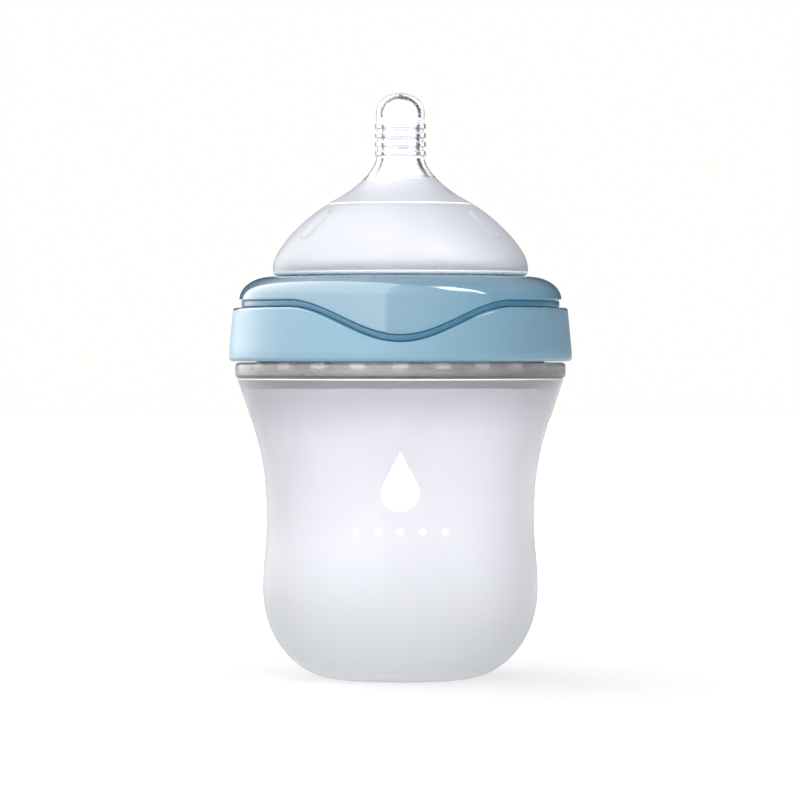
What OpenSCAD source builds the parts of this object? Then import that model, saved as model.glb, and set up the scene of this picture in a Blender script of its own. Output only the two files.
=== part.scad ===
// Wide-neck silicone feeding bottle, standing upright on its base.
// Z is up, the origin is the centre of the base and the front faces -Y.
// All sizes are in millimetres.

/* [Flask] */
// Height of the silicone flask up to its shoulder
flask_h = 72; // [68:1:80]
// Outside radius of the shoulder under the neck ring
shoulder_r = 39.2; // [39.1:0.1:39.4]
// Outside radius of the waist
waist_r = 32.15; // [31:0.05:34]
// Height of the waist above the base
waist_z = 38; // [34:1:42]
// Outside radius of the belly below the waist
belly_r = 33; // [32:0.1:35]
// Height of the belly above the base
belly_z = 21.6; // [18:0.2:25]
// Radius of the flat ring that the bottle stands on
foot_r = 15; // [13:0.5:20]
// Thickness of the silicone side wall
flask_wall = 2; // [1.5:0.1:2.5]
// Thickness of the floor
floor_t = 3.2; // [2.5:0.1:4]
// Depth of the hollow under the floor
push_up = 1; // [0.5:0.1:1.2]

/* [Neck ring] */
// Height of the rim above the flask's shoulder
neck_h = 20; // [19:0.5:22]
// Outside radius of the threaded neck
neck_r = 34.4; // [34.2:0.1:34.6]
// Wall of the threaded neck
neck_wall = 2; // [1.6:0.1:2.2]
// Outside radius of the exposed flange
flange_r = 39.6; // [39.5:0.1:39.9]
// Height of the exposed flange
flange_h = 3.7; // [3.5:0.1:3.8]
// Silicone keys that lock the flask into the flange
key_count = 24; // [12:1:30]

/* [Thread] */
// Rise in one full turn
thread_lead = 8; // [7:0.5:9]
// Separate ridges side by side
thread_starts = 2; // [1:1:2]
// Height of a ridge above its wall
thread_depth = 1.45; // [1.2:0.05:1.5]
// Gap between a ridge and the wall opposite
thread_gap = 0.35; // [0.3:0.05:0.4]

/* [Collar] */
// Radius of the glossy face
face_r = 38.6; // [38.5:0.1:38.8]
// Radius of the set-back strip under the glossy face
strip_r = 38.1; // [38:0.05:38.2]
// Height of the set-back strip
strip_h = 1.75; // [1.2:0.05:2.5]
// Radius of the matte skirt at its top
skirt_top_r = 40.1; // [39.8:0.1:40.4]
// Radius of the matte skirt at its foot
skirt_foot_r = 41.1; // [40.6:0.1:41.6]
// Thickness of the top plate
plate_t = 2.2; // [1.8:0.1:2.5]
// Radius of the hole that holds the nipple
opening_r = 28.3; // [28.2:0.1:28.5]
// Depth of the wave at the front and back
wave_depth = 8.2; // [4:0.2:9]
// Half the width of the wave
wave_half_w = 26; // [20:1:30]

/* [Nipple] */
// Largest radius of the dome
dome_r = 30.6; // [30.2:0.1:31.2]
// Height of the dome from its lip to the step
dome_h = 16.9; // [15.5:0.1:18]
// Radius of the step between dome and cone
step_r = 17.4; // [16:0.1:18.5]
// Height of the cone above the step
cone_h = 11.2; // [10:0.1:13]
// Radius of the teat's rounded tip
teat_r = 5.85; // [5.7:0.05:6]
// Height of the teat above the cone
teat_h = 15.3; // [14.5:0.1:18]
// Wall of the teat
teat_wall = 1.3; // [1:0.1:1.5]
// Wall of the dome
dome_wall = 2; // [1.6:0.1:2.2]
// Soft rings round the teat
ridge_count = 4; // [2:1:4]
// Diameter of the feeding hole
feed_hole_d = 0.6; // [0.4:0.1:1]

/* [Prints] */
// How far the front emblem stands proud
emblem_t = 0.3; // [0.2:0.05:0.5]
// How far the measuring marks stand proud
mark_t = 0.25; // [0.2:0.05:0.4]
// Largest volume on the scale, in millilitres
scale_max = 150; // [90:30:150]

/* [Hidden] */

round_fn = 128;
curve_steps = 14;

// Levels, from the base up
lip_gap = 0.7;
skirt_gap = 0.3;
shoulder_z = flask_h;
flange_z = shoulder_z + flange_h;
rim_z = shoulder_z + neck_h;
nipple_flange_t = 2;
plate_z = rim_z + nipple_flange_t;
collar_z = plate_z + plate_t;
lip_z = collar_z + lip_gap;
step_z = lip_z + dome_h;
teat_z = step_z + cone_h;
tip_z = teat_z + teat_h;

// Flask
foot_band = 1.5;
push_up_r = foot_r - foot_band - 1;
shoulder_slope = 0.34;
shoulder_reach = 15;
waist_reach = 14;
shoulder_edge = 0.25;
channel_in_r = 36.6;
channel_out_r = 38.3;
channel_top = shoulder_z + 2.2;
key_top = shoulder_z + 3.3;
key_in_r = 36.9;
key_out_r = 38.1;
key_angle = 5.3;
key_root = 0.4;
rim_edge = 0.4;
flange_edge = 1;
flange_gap = 0.1;
ring_skirt_z = shoulder_z - 2.1;
ring_skirt_r = 35.2;

// Thread
crest_r = neck_r + thread_depth;
bore_r = crest_r + thread_gap;
female_crest_r = neck_r + thread_gap;
ridge_root_w = 2;
ridge_crest_w = 1;
ridge_root = 0.3;
thread_steps = 48;
thread_pitch = thread_lead / thread_starts;
male_z = flange_z + 3.6;
male_turns = 0.95;
female_turns = 0.7;
flank_gap = 0.3;
ridge_slope = (ridge_root_w - ridge_crest_w) / (thread_depth + ridge_root);
ridge_half_sum = ridge_root_w - ridge_slope * (bore_r - neck_r + 2 * ridge_root) / 2;
female_z = male_z + thread_pitch - ridge_half_sum - flank_gap;

// Collar
shoulder_in_r = 31;
edge_h = 5.4;
face_h = 0.3;
mouth_edge = 0.6;
bore_edge = 0.4;
face_z = collar_z - edge_h - face_h;
strip_foot_z = face_z - strip_h;
skirt_z = flange_z + skirt_gap;
skirt_lip_t = 1;
skirt_lip_r = bore_r + 0.2;
skirt_in_r = strip_r + 0.05;
skirt_edge = 0.5;
wave_fullness = 0.9;
wave_points = 28;
far = 120;

// Nipple
nipple_flange_r = bore_r - 0.6;
nipple_neck_r = opening_r - 0.4;
lip_round = 1.5;
step_drop = 0.45;
step_shelf = 0.55;
dome_slope = 0.65;
cone_slope = 0.47;
teat_root_r = 5.75;
groove_r = 5.5;
ridge_r = 6.1;
ridge_pitch = 2.16;
ridge_w = 1.24;
ridge_top_w = 1.08;
first_ridge_z = teat_z + 0.8;
bulb_z = first_ridge_z + (ridge_count - 0.5) * ridge_pitch;
tip_wall = 1.2;
tip_h = 4.9;
tip_pull = 0.57;
seal_lip_in_r = 31;
seal_lip_out_r = neck_r - neck_wall - 0.3;
seal_lip_h = 1.2;
pad_z = step_z - 5;
pad_reach = 2.6;
pad_half_w = 2.1;
pad_rise = 0.45;
pad_root = 0.5;
pad_lean = [0.6, 0.8];
pad_angles = [-147, -33, 90];
vent_d = 0.8;
vent_r = 29.6;
vent_angles = [30, 150, 270];

// Prints
drop_r = 4.5;
drop_tip = 9.5;
drop_z = 45.5;
drop_steps = 24;
dot_r = 0.85;
dot_step = 5.2;
dot_z = 36.3;
minor_ml = 10;
major_ml = 30;
minor_mark_w = 4.5;
major_mark_w = 9;
mark_h = 0.5;
skin_low_z = 9;

// Point of a cubic curve
function bezier_point(p, t) =
    pow(1 - t, 3) * p[0] + 3 * pow(1 - t, 2) * t * p[1] + 3 * (1 - t) * t * t * p[2] + t * t * t * p[3];

// Points of a cubic curve without its first one
function bezier(p, steps = curve_steps) = [for (i = [1:steps]) bezier_point(p, i / steps)];

// Curve that leaves a along one line and reaches b along another, the two lines meeting at corner
function corner_curve(a, corner, b, pull = 0.55) =
    bezier([a, a + pull * (corner - a), b + pull * (corner - b), b]);

// Quarter of an ellipse from straight below its centre to its right, without its first point
function ellipse_quarter(centre, rx, rz, steps = curve_steps) =
    [for (i = [1:steps]) centre + [rx * sin(90 * i / steps), -rz * cos(90 * i / steps)]];

// Side of the flask from the foot up to the shoulder, moved in by a wall and up by a floor
function flask_side(wall, lift) = concat(
    ellipse_quarter([foot_r, belly_z], belly_r - foot_r - wall, belly_z - lift),
    bezier([
        [belly_r - wall, belly_z],
        [belly_r - wall, (belly_z + waist_z) / 2],
        [waist_r - wall, (belly_z + waist_z) / 2],
        [waist_r - wall, waist_z]
    ]),
    bezier([
        [waist_r - wall, waist_z],
        [waist_r - wall, waist_z + waist_reach],
        [shoulder_r - wall - shoulder_slope * shoulder_reach, shoulder_z - shoulder_reach],
        [shoulder_r - wall, shoulder_z]
    ])
);

function reversed(list) = [for (i = [len(list) - 1:-1:0]) list[i]];

flask_outside = flask_side(0, 0);
flask_inside = [for (p = flask_side(flask_wall, floor_t)) if (p[1] < ring_skirt_z - 0.5) p];

flask_outline = concat(
    [[0, push_up], [push_up_r, push_up], [foot_r - foot_band, 0], [foot_r, 0]],
    [for (p = flask_outside) if (p[1] < shoulder_z - shoulder_edge) p],
    [[shoulder_r, shoulder_z - shoulder_edge], [shoulder_r - shoulder_edge, shoulder_z]],
    [[channel_out_r, shoulder_z], [channel_out_r, channel_top], [channel_in_r, channel_top]],
    [[channel_in_r, ring_skirt_z]],
    reversed(flask_inside),
    [[foot_r, floor_t], [0, floor_t]]
);

// One of the keys that stand on the flask's rim and fill the pockets of the flange
module key(bottom_z) {
    rotate_extrude(angle = key_angle, start = -key_angle / 2, $fn = round_fn)
        translate([key_in_r, bottom_z])
            square([key_out_r - key_in_r, key_top - bottom_z]);
}

module keys(bottom_z) {
    for (i = [0:key_count - 1])
        rotate(i * 360 / key_count)
            key(bottom_z);
}

module flask() {
    color("#e6e8ef")
        union() {
            rotate_extrude($fn = round_fn)
                polygon(flask_outline);
            keys(channel_top - key_root);
        }
}

neck_ring_outline = concat(
    [[ring_skirt_r, ring_skirt_z], [channel_in_r, ring_skirt_z], [channel_in_r, channel_top]],
    [[channel_out_r, channel_top], [channel_out_r, shoulder_z + flange_gap]],
    [[flange_r - flange_edge, shoulder_z + flange_gap]],
    corner_curve([flange_r - flange_edge, shoulder_z + flange_gap], [flange_r, shoulder_z + flange_gap],
        [flange_r, shoulder_z + flange_gap + flange_edge], 0.6),
    [[flange_r, flange_z - flange_edge]],
    corner_curve([flange_r, flange_z - flange_edge], [flange_r, flange_z],
        [flange_r - flange_edge, flange_z], 0.6),
    [[neck_r, flange_z], [neck_r, rim_z - rim_edge], [neck_r - rim_edge, rim_z]],
    [[neck_r - neck_wall + rim_edge, rim_z], [neck_r - neck_wall, rim_z - rim_edge]],
    [[neck_r - neck_wall, flange_z + 0.8], [ring_skirt_r, flange_z - 2]]
);

// Helical ridge from a root radius to a crest radius, rising by the thread's lead in each turn
module helical_ridge(root_r, ridge_crest_r, start_z, turns) {
    steps = ceil(turns * thread_steps);
    outward = sign(ridge_crest_r - root_r);
    buried_r = root_r - outward * ridge_root;
    rings = [
        for (i = [0:steps])
            let (
                turn = turns * i / steps,
                angle = 360 * turn,
                z = start_z + thread_lead * turn,
                fade = min(1, (i + 0.3) / 3, (steps - i + 0.3) / 3),
                top_r = root_r + fade * (ridge_crest_r - root_r),
                section = [
                    [buried_r, z - ridge_root_w / 2],
                    [top_r, z - ridge_crest_w / 2],
                    [top_r, z + ridge_crest_w / 2],
                    [buried_r, z + ridge_root_w / 2]
                ]
            )
            each [for (p = section) [p[0] * cos(angle), p[0] * sin(angle), p[1]]]
    ];
    sides = [
        for (i = [0:steps - 1])
            for (j = [0:3])
                let (
                    a = 4 * i + j,
                    b = 4 * i + (j + 1) % 4,
                    c = b + 4,
                    d = a + 4
                )
                each [[a, b, c], [a, c, d]]
    ];
    first_end = [[0, 2, 1], [0, 3, 2]];
    last = 4 * steps;
    last_end = [[last, last + 1, last + 2], [last, last + 2, last + 3]];
    all_faces = concat(sides, first_end, last_end);
    flipped = [for (f = all_faces) [f[0], f[2], f[1]]];
    polyhedron(rings, outward > 0 ? all_faces : flipped);
}

module thread(root_r, ridge_crest_r, start_z, turns) {
    for (i = [0:thread_starts - 1])
        rotate(i * 360 / thread_starts)
            helical_ridge(root_r, ridge_crest_r, start_z, turns);
}

module neck_ring() {
    color("#c3c6cf")
        union() {
            difference() {
                rotate_extrude($fn = round_fn)
                    polygon(neck_ring_outline);
                keys(channel_top - key_root);
            }
            thread(neck_r, crest_r, male_z, male_turns);
        }
}

// Level of a wavy edge at a distance to the side of the front
function wave_level(x, flat_z) =
    abs(x) >= wave_half_w
        ? flat_z
        : flat_z - wave_depth * pow((1 + cos(180 * x / wave_half_w)) / 2, wave_fullness);

// Everything above the wavy edge, or below it when up is false
module wave_side(flat_z, up) {
    edge_points = [
        for (i = [0:wave_points])
            let (x = wave_half_w * (2 * i / wave_points - 1))
            [x, wave_level(x, flat_z)]
    ];
    end_z = up ? far : 0;
    rotate([90, 0, 0])
        translate([0, 0, -far / 2])
            linear_extrude(far)
                polygon(concat([[-far / 2, end_z], [-far / 2, flat_z]], edge_points,
                    [[far / 2, flat_z], [far / 2, end_z]]));
}

// Outer face of the collar from its flat top down to a level at the given radius
function collar_top_face(radius, foot_z) = concat(
    [[shoulder_in_r, collar_z]],
    [
        for (i = [1:curve_steps])
            let (angle = 90 * i / curve_steps)
            [
                shoulder_in_r + (radius - shoulder_in_r) * sin(angle),
                collar_z - edge_h * (1 - cos(angle))
            ]
    ],
    [[radius, foot_z]]
);

module collar_ring() {
    bottom_z = skirt_z + skirt_lip_t;
    color("#9cc4da")
        union() {
            difference() {
                rotate_extrude($fn = round_fn)
                    polygon(concat(
                        [[opening_r, plate_z + bore_edge], [opening_r, collar_z - mouth_edge]],
                        [[opening_r + mouth_edge, collar_z]],
                        collar_top_face(face_r, bottom_z),
                        [[bore_r + bore_edge, bottom_z], [bore_r, bottom_z + bore_edge]],
                        [[bore_r, plate_z], [opening_r + bore_edge, plate_z]]
                    ));
                intersection() {
                    rotate_extrude($fn = round_fn)
                        translate([strip_r, bottom_z - 1])
                            square([2, face_z - bottom_z + 2]);
                    wave_side(face_z, false);
                }
            }
            thread(bore_r, female_crest_r, female_z, female_turns);
        }
}

module collar_skirt() {
    foot_round = 0.9;
    low_outer = [skirt_foot_r, skirt_z];
    color("#a9cfe2")
        intersection() {
            rotate_extrude($fn = round_fn)
                polygon(concat(
                    [[skirt_lip_r, skirt_z + skirt_lip_t], [skirt_lip_r, skirt_z]],
                    [low_outer - [foot_round, 0]],
                    corner_curve(low_outer - [foot_round, 0], low_outer, low_outer + [0, foot_round], 0.6),
                    [low_outer + [0, 2.2]],
                    [[skirt_top_r, strip_foot_z - skirt_edge], [skirt_top_r - skirt_edge, strip_foot_z]],
                    [[skirt_in_r, strip_foot_z], [skirt_in_r, skirt_z + skirt_lip_t]]
                ));
            wave_side(strip_foot_z, false);
        }
}

// Curves of the dome, the cone above it and the soft rings round the teat
dome_top = [step_r + step_shelf, step_z - step_drop];
dome_curve = corner_curve(dome_top, [dome_r, dome_top[1] - dome_slope * (dome_r - dome_top[0])],
    [dome_r, lip_z + lip_round]);

cone_curve = corner_curve([teat_root_r, teat_z], [teat_root_r, step_z + cone_slope * (step_r - teat_root_r)],
    [step_r, step_z]);

ridge_points = [
    for (i = [0:ridge_count - 1])
        let (z = first_ridge_z + i * ridge_pitch)
        each [
            [groove_r, z - ridge_w / 2],
            [ridge_r, z - ridge_top_w / 2],
            [ridge_r, z + ridge_top_w / 2],
            [groove_r, z + ridge_w / 2]
        ]
];

// Outside of the nipple from its flange up to the tip
nipple_outside = concat(
    [[nipple_flange_r, rim_z], [nipple_flange_r, plate_z], [nipple_neck_r, plate_z]],
    [[nipple_neck_r, lip_z], [dome_r - 1, lip_z]],
    corner_curve([dome_r - 1, lip_z], [dome_r, lip_z], [dome_r, lip_z + lip_round], 0.6),
    reversed(dome_curve),
    [[step_r + step_shelf, step_z - step_drop], [step_r, step_z - step_drop], [step_r, step_z]],
    reversed(cone_curve),
    [[teat_root_r, teat_z]],
    ridge_points,
    [[teat_r - 0.15, bulb_z], [teat_r, bulb_z + 1.5]],
    corner_curve([teat_r, tip_z - tip_h], [teat_r, tip_z], [0, tip_z], tip_pull)
);

// Inside of the nipple from the flange up to the tip
inner_dome_r = dome_r - dome_wall;
inner_step = [step_r - 0.9, step_z - 2];
inner_teat_r = groove_r - teat_wall;
nipple_inside = concat(
    [[nipple_neck_r - dome_wall, rim_z], [nipple_neck_r - dome_wall, lip_z - 0.6]],
    corner_curve([nipple_neck_r - dome_wall, lip_z - 0.6], [inner_dome_r, lip_z - 0.6],
        [inner_dome_r, lip_z + lip_round + 0.6], 0.6),
    corner_curve([inner_dome_r, lip_z + lip_round + 0.6],
        [inner_dome_r, inner_step[1] - dome_slope * (inner_dome_r - inner_step[0])], inner_step),
    corner_curve(inner_step, [inner_teat_r, inner_step[1] + cone_slope * (inner_step[0] - inner_teat_r)],
        [inner_teat_r, teat_z]),
    [[inner_teat_r, bulb_z], [teat_r - teat_wall, bulb_z + 0.8], [teat_r - teat_wall, tip_z - tip_h]],
    corner_curve([teat_r - teat_wall, tip_z - tip_h], [teat_r - teat_wall, tip_z - tip_wall],
        [0, tip_z - tip_wall], tip_pull)
);

// Low oval pad on the outside of the dome that stiffens it against folding in
module dome_pad() {
    slope_table = [for (p = reversed(dome_curve)) [p[1], p[0]]];
    run = lookup(pad_z + 1, slope_table) - lookup(pad_z - 1, slope_table);
    translate([lookup(pad_z, slope_table), 0, pad_z])
        rotate([0, atan2(2, -run), 0])
            linear_extrude(6, center = true) {
                square([2 * pad_reach, 2 * pad_half_w], center = true);
                for (side = [-1, 1])
                    translate([side * pad_reach, 0])
                        circle(r = pad_half_w, $fn = 48);
            }
}

module dome_pads() {
    intersection() {
        for (angle = pad_angles)
            rotate(angle)
                dome_pad();
        rotate_extrude($fn = round_fn)
            polygon(concat(
                [for (p = dome_curve) p + pad_rise * pad_lean],
                reversed([for (p = dome_curve) p - pad_root * pad_lean])
            ));
    }
}

module nipple() {
    color("#eef0f6")
        difference() {
            union() {
                rotate_extrude($fn = round_fn)
                    polygon(concat(nipple_outside, reversed(nipple_inside)));
                rotate_extrude($fn = round_fn)
                    translate([seal_lip_in_r, rim_z - seal_lip_h])
                        square([seal_lip_out_r - seal_lip_in_r, seal_lip_h + 0.5]);
                dome_pads();
            }
            translate([0, 0, tip_z - 2 * tip_wall])
                cylinder(d = feed_hole_d, h = 3 * tip_wall, $fn = 24);
            for (angle = vent_angles)
                rotate(angle)
                    translate([vent_r, 0, rim_z - 1])
                        cylinder(d = vent_d, h = nipple_flange_t + 2, $fn = 24);
        }
}

// Thin layer that lies on the outside of the flask
module flask_skin(thickness) {
    band = [for (p = flask_outside) if (p[1] > skin_low_z && p[1] < shoulder_z - 4) p];
    rotate_extrude($fn = round_fn)
        polygon(concat(band, reversed([for (p = band) p + [thickness, 0]])));
}

// Plain milk drop above a row of dots, drawn upright in the XY plane
module emblem_shape() {
    lean = asin(drop_r / drop_tip);
    round_part = [
        for (i = [0:drop_steps])
            let (angle = lean - i * (180 + 2 * lean) / drop_steps)
            drop_r * [cos(angle), sin(angle)]
    ];
    translate([0, drop_z])
        polygon(concat([[0, drop_tip]], round_part));
    for (i = [-2:2])
        translate([i * dot_step, dot_z])
            circle(r = dot_r, $fn = 32);
}

module emblem() {
    color("white")
        intersection() {
            flask_skin(emblem_t);
            rotate([90, 0, 0])
                linear_extrude(far / 2)
                    emblem_shape();
        }
}

// Volume below each level of the inside, in millilitres, paired with the level
function slice_ml(a, b) = PI / 3000 * (b[1] - a[1]) * (a[0] * a[0] + a[0] * b[0] + b[0] * b[0]);
function fill_table(points, i = 1, total = 0, table = [[0, floor_t]]) =
    i >= len(points)
        ? table
        : let (sum = total + slice_ml(points[i - 1], points[i]))
          fill_table(points, i + 1, sum, concat(table, [[sum, points[i][1]]]));

module scale_marks() {
    table = fill_table(concat([[foot_r, floor_t]], flask_inside));
    color("white")
        intersection() {
            flask_skin(mark_t);
            for (ml = [major_ml:minor_ml:scale_max])
                let (mark_w = ml % major_ml == 0 ? major_mark_w : minor_mark_w)
                translate([-major_mark_w / 2, 0, lookup(ml, table) - mark_h / 2])
                    cube([mark_w, far / 2, mark_h]);
        }
}

flask();
neck_ring();
nipple();
collar_ring();
collar_skirt();
emblem();
scale_marks();
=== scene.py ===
import math
import bpy
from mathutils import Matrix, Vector


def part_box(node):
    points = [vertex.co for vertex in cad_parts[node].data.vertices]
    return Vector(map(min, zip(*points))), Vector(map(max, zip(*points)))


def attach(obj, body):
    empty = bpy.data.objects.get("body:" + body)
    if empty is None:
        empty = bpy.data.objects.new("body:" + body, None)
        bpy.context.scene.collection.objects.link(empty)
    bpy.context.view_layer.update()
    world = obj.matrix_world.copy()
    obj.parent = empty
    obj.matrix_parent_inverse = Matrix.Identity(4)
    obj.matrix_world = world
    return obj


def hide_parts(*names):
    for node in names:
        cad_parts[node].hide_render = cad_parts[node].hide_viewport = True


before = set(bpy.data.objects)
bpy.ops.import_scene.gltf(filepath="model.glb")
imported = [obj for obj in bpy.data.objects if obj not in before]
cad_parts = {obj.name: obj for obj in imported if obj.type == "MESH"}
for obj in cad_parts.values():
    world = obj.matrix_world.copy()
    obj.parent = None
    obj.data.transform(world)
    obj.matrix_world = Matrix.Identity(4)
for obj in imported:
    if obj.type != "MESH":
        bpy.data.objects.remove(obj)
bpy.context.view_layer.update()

# Every outline below is in millimetres: radius from the bottle's axis, then height above the base.
MM = 0.001


def corners_mm(node):
    """Lowest and highest corner of a CAD node, in millimetres."""
    low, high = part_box(node)
    return low / MM, high / MM


flask_high = corners_mm("flask")[1]
ring_low, ring_high = corners_mm("neck_ring")
collar_low, collar_high = corners_mm("collar_ring")
skirt_low, skirt_high = corners_mm("collar_skirt")
nipple_low, nipple_high = corners_mm("nipple")
marks_high = corners_mm("scale_marks")[1]

# Levels
SHOULDER_Z = flask_high.z - 3.3
FLANGE_Z = skirt_low.z - 0.3
RIM_Z = ring_high.z
PLATE_Z = RIM_Z + 2.0
COLLAR_Z = collar_high.z
LIP_Z = COLLAR_Z + 0.7
STEP_Z = LIP_Z + 16.9
TEAT_Z = STEP_Z + 11.2
TIP_Z = nipple_high.z
FACE_Z = COLLAR_Z - 5.7
STRIP_FOOT_Z = skirt_high.z

# Radii
SHOULDER_R = flask_high.x
WAIST_R = 32.15
WAIST_Z = 38.0
BELLY_R = 33.0
BELLY_Z = 21.6
FOOT_R = 15.0
FLASK_WALL = 2.0
FLOOR_T = 3.2
FLANGE_R = ring_high.x
NECK_R = 34.4
NECK_WALL = 2.0
FACE_R = collar_high.x
STRIP_R = 38.1
STRIP_GROOVE = 0.45
SKIRT_TOP_R = 40.1
SKIRT_FOOT_R = skirt_high.x
OPENING_R = 28.3
DOME_R = 30.6
STEP_R = 17.4
TEAT_R = 5.85
THREAD_DEPTH = 1.45
THREAD_GAP = 0.35
THREAD_LEAD = 8.0
THREAD_STARTS = 2
BORE_R = NECK_R + THREAD_DEPTH + THREAD_GAP

ROUND = 256


# ---------------------------------------------------------------- outlines

def bezier(p, steps=16):
    """Points of a cubic curve, its first one left out."""
    points = []
    for i in range(1, steps + 1):
        t = i / steps
        s = 1 - t
        weights = (s * s * s, 3 * s * s * t, 3 * s * t * t, t * t * t)
        points.append(tuple(sum(w * q[k] for w, q in zip(weights, p)) for k in (0, 1)))
    return points


def between(a, b, share):
    return tuple(a[k] + share * (b[k] - a[k]) for k in (0, 1))


def corner_curve(a, corner, b, pull=0.55, steps=16):
    """Curve from a to b whose end tangents meet at corner, its first point left out."""
    return bezier([a, between(a, corner, pull), between(b, corner, pull), b], steps)


def rounded(path, closed=True, steps=6, support=0.06, longest=2.5):
    """A path of (radius, height) or (radius, height, fillet) corners as plain points. Fillets become arcs.
    Straight stretches get a support point near each end and are split where they are long."""
    points = []
    count = len(path)
    for i, item in enumerate(path):
        here = item[:2]
        if len(item) == 2:
            points.append(here)
            continue
        before = path[(i - 1) % count][:2]
        after = path[(i + 1) % count][:2]
        start = between(here, before, min(0.49, item[2] / math.dist(here, before)))
        end = between(here, after, min(0.49, item[2] / math.dist(here, after)))
        points += [start] + corner_curve(start, here, end, steps=steps)
    dense = []
    stretches = len(points) if closed else len(points) - 1
    for i in range(stretches):
        a = points[i]
        b = points[(i + 1) % len(points)]
        dense.append(a)
        length = math.dist(a, b)
        if length > 8 * support:
            dense.append(between(a, b, support / length))
            parts = max(1, math.ceil(length / longest))
            dense += [between(a, b, k / parts) for k in range(1, parts)]
            dense.append(between(a, b, 1 - support / length))
    if not closed:
        dense.append(points[-1])
    return dense


def lathe(name, profile, closed=True, segments=ROUND):
    """Mesh of an outline turned round the axis. An open outline starts and ends on the axis. The outline may
    be a function of the angle, which is measured from the front towards +X."""
    verts = []
    index = {}
    for s in range(segments):
        angle = 2 * math.pi * s / segments
        outline = profile(angle) if callable(profile) else profile
        count = len(outline)
        for i, (r, z) in enumerate(outline):
            if not closed and i in (0, count - 1) and s > 0:
                index[i, s] = index[i, 0]
                continue
            index[i, s] = len(verts)
            verts.append((r * math.sin(angle) * MM, -r * math.cos(angle) * MM, z * MM))
    faces = []
    for i in range(count if closed else count - 1):
        j = (i + 1) % count
        for s in range(segments):
            t = (s + 1) % segments
            corners = [index[i, s], index[i, t], index[j, t], index[j, s]]
            faces.append(list(dict.fromkeys(corners)))
    return solid(name, verts, faces)


def solid(name, verts, faces):
    mesh = bpy.data.meshes.new(name)
    mesh.from_pydata(verts, [], faces)
    mesh.validate()
    mesh.shade_smooth()
    piece = bpy.data.objects.new(name, mesh)
    bpy.context.scene.collection.objects.link(piece)
    return piece


def paint(piece, index, where):
    """Give a material slot to the faces whose middle is at a wanted radius and height, in millimetres."""
    for polygon in piece.data.polygons:
        middle = polygon.center / MM
        if where(math.hypot(middle.x, middle.y), middle.z):
            polygon.material_index = index


def finish_piece(piece, body, slot, *nodes):
    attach(piece, body)
    if nodes:
        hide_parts(*nodes)


# ---------------------------------------------------------------- materials

def new_material(name):
    material = bpy.data.materials.new(name)
    material.use_nodes = True
    tree = material.node_tree
    return material, tree, tree.nodes["Principled BSDF"]


def texture_space(tree):
    return tree.nodes.new("ShaderNodeTexCoord").outputs["Object"]


def noise_field(tree, space, scale, detail=3.0, rough=0.5):
    field = tree.nodes.new("ShaderNodeTexNoise")
    field.inputs["Scale"].default_value = scale
    field.inputs["Detail"].default_value = detail
    field.inputs["Roughness"].default_value = rough
    tree.links.new(space, field.inputs["Vector"])
    return field.outputs["Fac"]


def spread(tree, value, low, high, from_low=0.3, from_high=0.7):
    """A value mapped from one range to another."""
    node = tree.nodes.new("ShaderNodeMapRange")
    node.inputs["From Min"].default_value = from_low
    node.inputs["From Max"].default_value = from_high
    node.inputs["To Min"].default_value = low
    node.inputs["To Max"].default_value = high
    tree.links.new(value, node.inputs["Value"])
    return node.outputs["Result"]


def combine(tree, operation, a, b):
    """Math node on sockets or plain numbers."""
    node = tree.nodes.new("ShaderNodeMath")
    node.operation = operation
    for socket, value in zip(node.inputs, (a, b)):
        if isinstance(value, (int, float)):
            socket.default_value = value
        else:
            tree.links.new(value, socket)
    return node.outputs[0]


def soft_step(tree, value, edges, levels):
    """Soft step from one level to another as a value passes two edges."""
    node = tree.nodes.new("ShaderNodeMapRange")
    node.interpolation_type = "SMOOTHSTEP"
    node.inputs["From Min"].default_value, node.inputs["From Max"].default_value = edges
    node.inputs["To Min"].default_value, node.inputs["To Max"].default_value = levels
    tree.links.new(value, node.inputs["Value"])
    return node.outputs["Result"]


def tint(tree, value, colour_a, colour_b):
    """Colour that runs from one to another as the value goes from 0 to 1."""
    mix = tree.nodes.new("ShaderNodeMix")
    mix.data_type = "RGBA"
    mix.inputs["A"].default_value = (*colour_a, 1)
    mix.inputs["B"].default_value = (*colour_b, 1)
    tree.links.new(value, mix.inputs["Factor"])
    return mix.outputs["Result"]


def grain(tree, shader, heights, distance):
    """Surface relief from a list of (field, share) pairs, with the given depth in metres."""
    total = None
    for field, share in heights:
        scaled = combine(tree, "MULTIPLY", field, share)
        total = scaled if total is None else combine(tree, "ADD", total, scaled)
    bump = tree.nodes.new("ShaderNodeBump")
    bump.inputs["Distance"].default_value = distance
    tree.links.new(total, bump.inputs["Height"])
    tree.links.new(bump.outputs["Normal"], shader.inputs["Normal"])


def height_of(tree, space):
    split = tree.nodes.new("ShaderNodeSeparateXYZ")
    tree.links.new(space, split.inputs["Vector"])
    return split.outputs["Z"]


def silicone_base(name):
    """See-through silicone with the fine grain of a blasted mould."""
    material, tree, shader = new_material(name)
    space = texture_space(tree)
    shader.inputs["IOR"].default_value = 1.41
    fine = noise_field(tree, space, 2600, detail=2)
    grain(tree, shader, [(fine, 1.0), (noise_field(tree, space, 700), 0.6)], 0.00003)
    return material, tree, shader, space


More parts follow.
